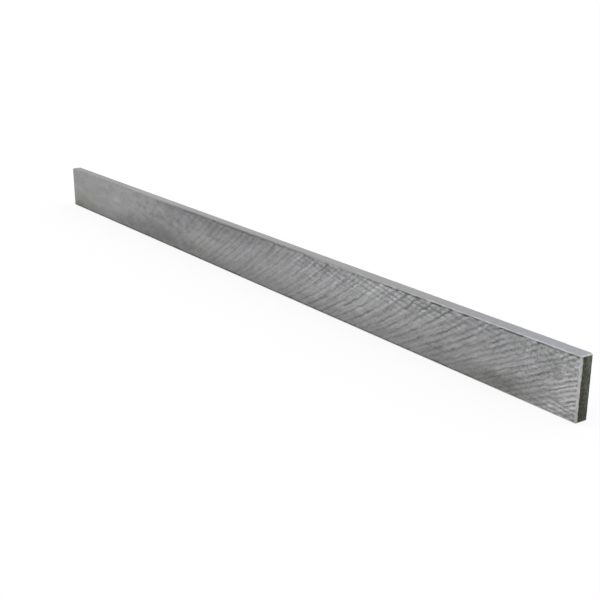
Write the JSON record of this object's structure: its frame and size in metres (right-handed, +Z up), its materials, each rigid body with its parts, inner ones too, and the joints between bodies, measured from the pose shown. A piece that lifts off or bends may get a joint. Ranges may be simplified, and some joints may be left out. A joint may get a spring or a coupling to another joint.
{
  "type": "straight edge",
  "caption": "Plain ground steel straight edge: a long flat bar with true parallel narrow faces, lightly broken edges, chamfered upright corners and rough dark ends.",
  "frame": {"origin": "middle of the narrow working face that the bar stands on", "axes": "+X along the bar, +Y across its thickness, +Z up from the lower to the upper working face"},
  "size_m": [0.6, 0.0086, 0.035],
  "materials": {
    "ground_steel": "bare carbon steel, ground: crossed arcs of grinding marks on the wide faces, fine lengthwise grind on the narrow faces, dark rough scale on the ends"
  },
  "bodies": {
    "root": {"straight_edge": "ground_steel"}
  },
  "joints": []
}
